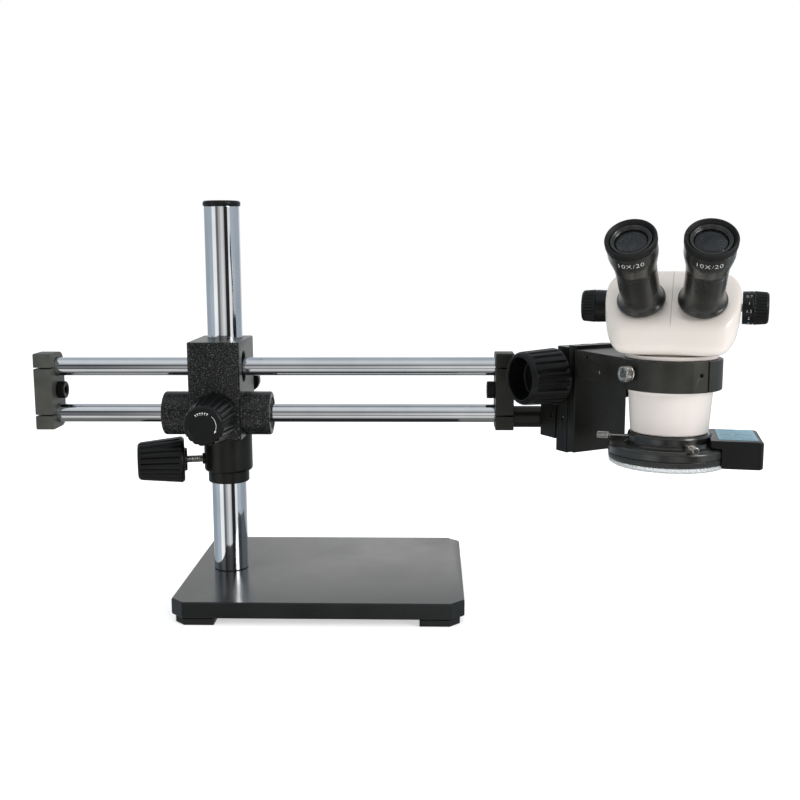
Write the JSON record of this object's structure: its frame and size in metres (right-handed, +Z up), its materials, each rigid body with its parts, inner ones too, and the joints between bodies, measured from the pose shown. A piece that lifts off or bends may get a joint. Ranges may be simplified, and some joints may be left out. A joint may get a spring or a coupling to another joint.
{
  "type": "stereo microscope",
  "caption": "Zoom stereo microscope with an LED ring light, on a tilting focus mount at the end of a double-rod ball-bearing boom stand.",
  "frame": {"origin": "middle of the whole object in plan, on the surface that the feet stand on", "axes": "+X along the boom towards the microscope, +Y away from the user, +Z up"},
  "size_m": [0.6134, 0.335, 0.3635],
  "materials": {
    "enamel_black": "satin black enamel",
    "hammer_black": "hammertone black paint",
    "chrome_rod": "hard chrome, polished",
    "knob_black": "satin moulded plastic",
    "anodised_black": "black anodised, satin",
    "steel": "turned steel",
    "bearing_steel": "ground steel",
    "nylon": "moulded nylon",
    "rubber": "matt rubber",
    "enamel_white": "warm white enamel, low gloss",
    "glass": "coated optical glass",
    "clear_plastic": "clear moulded diffuser",
    "board_white": "white solder mask",
    "brass": "machined brass"
  },
  "bodies": {
    "stand": {"base_plate": "enamel_black", "foot_front_left": "rubber", "foot_front_right": "rubber", "foot_rear_left": "rubber", "foot_rear_right": "rubber", "pole": "chrome_rod", "pole_cap": "knob_black", "pole_bolt": "steel"},
    "collar": {"safety_collar": "anodised_black"},
    "collar_clamp": {"collar_knob": "knob_black", "collar_screw": "steel"},
    "boom_carrier": {"boom_block": "hammer_black", "bearing_left": "bearing_steel", "bearing_right": "bearing_steel", "guide_liner": "nylon"},
    "boom_lock": {"lock_knob": "knob_black"},
    "rear_lock": {"rear_knob": "knob_black"},
    "boom": {"upper_rod": "chrome_rod", "lower_rod": "chrome_rod", "end_block_left": "anodised_black", "end_block_right": "anodised_black", "end_screw_left": "steel", "end_screw_right": "steel", "boom_end_pin": "anodised_black"},
    "swivel": {"swivel_hub": "anodised_black"},
    "focus_mount": {"mount_bracket": "anodised_black", "focus_block": "anodised_black", "swivel_bolt": "steel"},
    "focus_drive": {"focus_shaft": "steel", "focus_knob_left": "knob_black", "focus_knob_right": "knob_black"},
    "focus_slide": {"slide_plate": "anodised_black", "focus_rack": "brass", "holder_arm": "anodised_black"},
    "holder_screw": {"ring_screw": "steel"},
    "head": {"head_housing": "enamel_white", "objective_housing": "enamel_white", "objective_lens": "glass", "light_adaptor": "anodised_black"},
    "zoom_drive": {"zoom_shaft": "steel", "zoom_knob_left": "knob_black", "zoom_knob_right": "knob_black"},
    "zoom_optics": {"zoom_carriage": "anodised_black"},
    "tube_left": {"eye_tube_left": "knob_black"},
    "tube_right": {"eye_tube_right": "knob_black"},
    "ocular_left": {"eyepiece_left": "knob_black", "eyecup_left": "rubber", "eye_lens_left": "glass"},
    "ocular_right": {"eyepiece_right": "knob_black", "eyecup_right": "rubber", "eye_lens_right": "glass"},
    "ring_light": {"ring_light_housing": "anodised_black", "light_diffuser": "clear_plastic", "led_board": "board_white", "power_box": "knob_black", "power_inlet": "steel"},
    "light_clamp_left": {"light_screw_left": "steel"},
    "light_clamp_front": {"light_screw_front": "steel"},
    "light_clamp_rear": {"light_screw_rear": "steel"}
  },
  "joints": [
    {"name": "collar_lift", "type": "slide", "parent": "stand", "child": "collar", "axis": [0, 0, 1], "range_m": [-0.08, 0.115]},
    {"name": "collar_clamp_turn", "type": "hinge", "parent": "collar", "child": "collar_clamp", "pos_m": [-0.14288, 0.06501, 0.1267], "axis": [0.9703, 0.2419, 0], "continuous": true},
    {"name": "boom_swing", "type": "hinge", "parent": "collar", "child": "boom_carrier", "pos_m": [-0.14288, 0.06501, 0.152], "axis": [0, 0, 1], "continuous": true},
    {"name": "boom_lock_turn", "type": "hinge", "parent": "boom_carrier", "child": "boom_lock", "pos_m": [-0.14433, -0.01499, 0.1734], "axis": [0, 1, 0], "continuous": true},
    {"name": "rear_lock_turn", "type": "hinge", "parent": "boom_carrier", "child": "rear_lock", "pos_m": [-0.12913, 0.09701, 0.195], "axis": [0, 1, 0], "continuous": true},
    {"name": "boom_extend", "type": "slide", "parent": "boom_carrier", "child": "boom", "axis": [1, 0, 0], "range_m": [-0.13, 0.08]},
    {"name": "mount_tilt", "type": "hinge", "parent": "boom", "child": "swivel", "pos_m": [0.15987, 0.03671, 0.1705], "axis": [1, 0, 0], "range_deg": [-5, 40]},
    {"name": "mount_swing", "type": "hinge", "parent": "swivel", "child": "focus_mount", "pos_m": [0.15987, 0.03671, 0.1705], "axis": [0, 0, 1], "range_deg": [-8, 75]},
    {"name": "focus_travel", "type": "slide", "parent": "focus_mount", "child": "focus_slide", "axis": [0, 0, 1], "range_m": [-0.02, 0.02]},
    {"name": "focus_turn", "type": "hinge", "parent": "focus_mount", "child": "focus_drive", "pos_m": [0.18327, 0.01169, 0.2126], "axis": [0.866, 0.5, 0], "range_deg": [-275, 275]},
    {"name": "holder_screw_turn", "type": "hinge", "parent": "focus_slide", "child": "holder_screw", "pos_m": [0.19896, -0.09749, 0.226], "axis": [0.866, 0.5, 0], "continuous": true},
    {"name": "head_turn", "type": "hinge", "parent": "focus_slide", "child": "head", "pos_m": [0.23447, -0.07699, 0.226], "axis": [0, 0, 1], "continuous": true},
    {"name": "zoom_turn", "type": "hinge", "parent": "head", "child": "zoom_drive", "pos_m": [0.23527, -0.0741, 0.2753], "axis": [0.9636, -0.2672, 0], "range_deg": [-121, 121]},
    {"name": "zoom_travel", "type": "slide", "parent": "head", "child": "zoom_optics", "axis": [0, 0, 1], "range_m": [-0.01, 0.01]},
    {"name": "tube_swing_left", "type": "hinge", "parent": "head", "child": "tube_left", "pos_m": [0.20668, -0.0945, 0.2802], "axis": [-0.189, -0.6814, 0.7071], "range_deg": [-40, 40]},
    {"name": "ocular_turn_left", "type": "hinge", "parent": "tube_left", "child": "ocular_left", "pos_m": [0.19705, -0.11816, 0.30557], "axis": [-0.2673, -0.6572, 0.7047], "range_deg": [-120, 120]},
    {"name": "tube_swing_right", "type": "hinge", "parent": "head", "child": "tube_right", "pos_m": [0.24927, -0.10631, 0.2802], "axis": [-0.189, -0.6814, 0.7071], "range_deg": [-40, 40]},
    {"name": "ocular_turn_right", "type": "hinge", "parent": "tube_right", "child": "ocular_right", "pos_m": [0.24533, -0.13155, 0.30557], "axis": [-0.1094, -0.701, 0.7047], "range_deg": [-120, 120]},
    {"name": "light_turn", "type": "hinge", "parent": "head", "child": "ring_light", "pos_m": [0.23447, -0.07699, 0.172], "axis": [0, 0, 1], "continuous": true},
    {"name": "light_clamp_turn_left", "type": "hinge", "parent": "ring_light", "child": "light_clamp_left", "pos_m": [0.18037, -0.0625, 0.1726], "axis": [-0.9659, 0.2588, 0], "continuous": true},
    {"name": "light_clamp_turn_front", "type": "hinge", "parent": "ring_light", "child": "light_clamp_front", "pos_m": [0.24226, -0.13245, 0.1726], "axis": [0.1392, -0.9903, 0], "continuous": true},
    {"name": "light_clamp_turn_rear", "type": "hinge", "parent": "ring_light", "child": "light_clamp_rear", "pos_m": [0.27406, -0.03739, 0.1726], "axis": [0.7071, 0.7071, 0], "continuous": true}
  ],
  "couplings": [
    {"joint": "focus_turn", "follows": "focus_travel", "rad_per_m": -232.56},
    {"joint": "zoom_turn", "follows": "zoom_travel", "rad_per_m": 209.44},
    {"joint": "tube_swing_right", "follows": "tube_swing_left", "ratio": -1}
  ]
}
